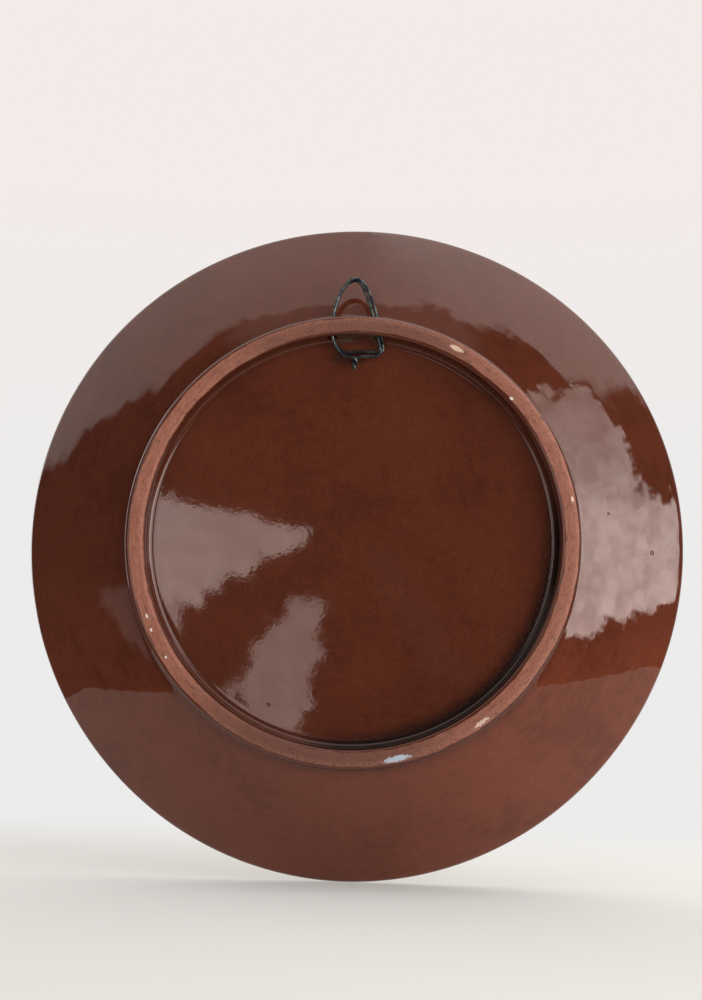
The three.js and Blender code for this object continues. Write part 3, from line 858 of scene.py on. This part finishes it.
light = {
    "frontLow": 0.45, "frontHigh": 1.15, "dark": 0.08, "top": 1.13, "fill": 0.06,
    "colour": (1, 0.99, 0.975), "coarseNoise": 9.0, "fineNoise": 60.0,
    # each range is (from, to) or (from, to, low, high)
    "frontSide": (-0.05, -0.45), "frontRise": (-5, 50), "topRagged": 14.0, "topSoft": 2.0,
    "topGrowth": (20, -60, 1.0, 1.6), "mottle": (-0.18, 0.18, 0.78, 1.2), "fade": (36, 0, 0.42, 1.15),
    "streaks": (-0.2, 0.2, 0.88, 1.1), "streakGrowth": (6, 14, 0.93, 1.12),
    # where the ceiling's light begins: azimuth from +Y towards +X, and elevation, in degrees
    "topLine": [(-180, 20), (-110, 34), (-73, 35.5), (-61, 40.5), (-58, 47), (-54, 53), (-41, 57.5),
                (-28, 63), (0, 66), (30, 62), (50, 54), (58, 43.6), (61, 36.5), (73, 28), (82, 19), (95, 14),
                (180, 12)],
    # bright places round the room, as they show in the glaze: corners in the same angles
    "patches": [
        {"power": 6.2, "soft": 0.8, "ragged": 13, "fade": True,
         "corners": [(-44, 37.5), (-62, 38.5), (-68, 35), (-71, 19), (-71, -7.5), (-44, -17.5)]},
        {"power": 3.3, "soft": 3.0, "ragged": 10, "corners": [(-16, -8), (-16, 24), (-44, 28), (-44, -12)]},
        {"power": 5.4, "soft": 0.8, "ragged": 13, "fade": True,
         "corners": [(-70, 17.5), (-83, 12.5), (-82, -2), (-70, -8)]},
        {"power": 3.9, "soft": 0.12, "ragged": 2.2, "streaky": True,
         "corners": [(14, 8.1), (4.0, 5.9), (8.9, 2.9), (14, 2.2)]},
        {"power": 3.2, "soft": 0.2, "ragged": 1.0, "corners": [(14, 3.2), (9.5, 3.2), (9.9, 0.9), (14, 0.5)]},
        {"power": 2.8, "soft": 0.12, "ragged": 2.2, "streaky": True,
         "corners": [(4.9, 2.9), (3.35, 2.8), (3.3, 1.7), (4.5, -2.9), (6.6, -2.4), (7.3, -0.9)]},
        {"power": 0.16, "soft": 0.7, "ragged": 2.0,
         "corners": [(2.4, 5.5), (0.2, 5.5), (-3.6, -0.5), (-1.2, -0.7)]},
        {"power": 0.55, "soft": 1.5, "ragged": 10, "corners": [(66, -5), (52, -4), (47, -21), (55, -20)]},
        {"power": 1.9, "soft": 1.5, "ragged": 10, "corners": [(47, -14), (47, 24), (24, 22), (24, -12)]},
        {"power": 0.5, "soft": 5.0, "ragged": 10, "corners": [(48, 50), (48, 95), (-40, 95), (-40, 50)]},
        {"power": 3.2, "soft": 1.5, "ragged": 10, "corners": [(112, -6), (112, 32), (138, 36), (138, -6)]},
    ],
}


def studioWorld():
    look = studio
    world = bpy.data.worlds.new("studio")
    scene.world = world
    world.use_nodes = True
    make = NodeMaker(world.node_tree)
    nodes = world.node_tree.nodes
    for node in list(nodes):
        nodes.remove(node)
    way = make.add("ShaderNodeTexCoord").outputs["Generated"]
    x, y, z = make.add("ShaderNodeSeparateXYZ", {0: way}).outputs
    degrees = 180 / math.pi
    azimuth = make.math("MULTIPLY", make.math("ARCTAN2", x, y), degrees)
    elevation = make.math("MULTIPLY", make.math("ARCSINE", z), degrees)
    shifted = make.vector("ADD", way, (3, 5, 7))

    def ragged(scale):
        # two noises that push a direction about, so that outlines are leafy rather than ruled
        return [make.math("SUBTRACT", make.noise(place, scale, 3, 0.62), 0.5) for place in (way, shifted)]

    coarse, fineRagged = ragged(light["coarseNoise"]), ragged(light["fineNoise"])
    pushed = {}

    def pushedWay(amount):
        # azimuth and elevation, pushed about by the noise, and a one for the outlines' offsets
        if amount not in pushed:
            pushes = fineRagged if amount < 5 else coarse
            az = make.math("MULTIPLY_ADD", pushes[0], amount, azimuth)
            el = make.math("MULTIPLY_ADD", pushes[1], amount, elevation)
            pushed[amount] = make.add("ShaderNodeCombineXYZ", {0: az, 1: el, 2: 1.0}).outputs[0]
        return pushed[amount]

    def patch(corners, soft, amount):
        # inside a convex outline of directions
        middle = np.mean(corners, axis=0)
        inside = 1000.0
        for start, end in zip(corners, corners[1:] + corners[:1]):
            along = np.array(end) - np.array(start)
            normal = np.array([-along[1], along[0]]) / np.linalg.norm(along)
            if normal @ (middle - start) < 0:
                normal = -normal
            edge = (float(normal[0]), float(normal[1]), float(-normal @ start))
            reach = make.vector("DOT_PRODUCT", pushedWay(amount), edge, result="Value")
            inside = make.math("MINIMUM", inside, reach)
        return make.rise(inside, -soft, soft)

    front = make.rise(y, *light["frontSide"])            # the side that the face looks to
    # a ceiling that shows above a ragged line
    curve = make.add("ShaderNodeFloatCurve", {"Value": make.math(
        "DIVIDE", make.math("ADD", azimuth, 180.0), 360.0)})
    line = curve.mapping.curves[0]
    for i, (az, el) in enumerate(light["topLine"]):
        spot = ((az + 180) / 360, el / 90)
        if i < 2:
            line.points[i].location = spot
        else:
            line.points.new(*spot)
    for point in line.points:
        point.handle_type = "VECTOR"
    curve.mapping.update()
    wobbled = make.math("ADD", elevation, make.math("MULTIPLY", coarse[1], light["topRagged"]))
    over = make.math("SUBTRACT", wobbled, make.math("MULTIPLY", curve.outputs[0], 90.0))
    top = make.math("MULTIPLY", make.rise(over, -light["topSoft"], light["topSoft"]),
                    make.rise(azimuth, *light["topGrowth"]))
    behindLight = make.math("ADD", light["dark"], make.math("MULTIPLY", top, light["top"]))
    frontLight = make.rise(elevation, *light["frontRise"], light["frontLow"], light["frontHigh"])
    studioLight = make.math("ADD", make.math("MULTIPLY", front, frontLight),
                            make.math("MULTIPLY", make.math("SUBTRACT", 1.0, front), behindLight))
    mottle = make.rise(coarse[0], *light["mottle"])
    streaky = make.math("MULTIPLY", make.rise(fineRagged[1], *light["streaks"]),
                        make.rise(azimuth, *light["streakGrowth"]))
    for spot in light["patches"]:
        power = make.math("MULTIPLY", patch(spot["corners"], spot["soft"], spot["ragged"]), spot["power"])
        if spot.get("fade"):
            power = make.product(power, mottle, make.rise(elevation, *light["fade"]))
        if spot.get("streaky"):
            power = make.math("MULTIPLY", power, streaky)
        studioLight = make.math("MAXIMUM", studioLight, power)

    rays = make.add("ShaderNodeLightPath").outputs
    # diffuse light is even and broad, so that the shadows stay soft
    diffuse = make.math("ADD", studioLight, light["fill"])
    amount = make.add("ShaderNodeMix", {0: rays["Is Diffuse Ray"], 2: studioLight, 3: diffuse},
                      data_type="FLOAT").outputs[0]
    lamp = make.add("ShaderNodeBackground", {"Color": (*light["colour"], 1), "Strength": amount}).outputs[0]
    backColour = make.mix(make.rise(elevation, *look["backgroundRise"]), look["background"],
                          look["backgroundTop"])
    backdrop = make.add("ShaderNodeBackground", {"Color": backColour, "Strength": 1.0}).outputs[0]
    both = make.add("ShaderNodeMixShader", {0: rays["Is Camera Ray"], 1: lamp, 2: backdrop}).outputs[0]
    make.add("ShaderNodeOutputWorld", {"Surface": both})


cameraPlace = {
    "position": (-0.0245105, 0.6215369, -0.1889172), "view": (0.03994912, -0.99090259, 0.1285151),
    "up": (0.01520676, 0.12920581, 0.99150119), "lens": 46.8, "sensor": 36,
}


def photoCamera():
    c = cameraPlace
    data = bpy.data.cameras.new("camera")
    data.lens = c["lens"]
    data.sensor_width = c["sensor"]
    data.clip_start = 0.01
    camera = bpy.data.objects.new("camera", data)
    scene.collection.objects.link(camera)
    back = -Vector(c["view"]).normalized()
    right = Vector(c["up"]).cross(back).normalized()
    up = back.cross(right)
    turn = Matrix((right, up, back)).transposed().to_4x4()
    camera.matrix_world = Matrix.Translation(Vector(c["position"])) @ turn
    scene.camera = camera


photoCamera()
studioWorld()
buildFloor()
print("camera, studio light and floor are set")

platter = platterMesh(glazedEarthenware())
pierceHoles(platter)
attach(platter, "root")
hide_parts("platter_body")
print("platter:", len(platter.data.polygons), "faces")

slip = slipTrails(creamSlip())
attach(slip, "root")
print("slip trails:", len(slip.data.polygons), "faces")

hanger = hangerWire(ironWire())
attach(hanger, "root")
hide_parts("hanger_wire")
print("hanger wire:", len(hanger.data.polygons), "faces")
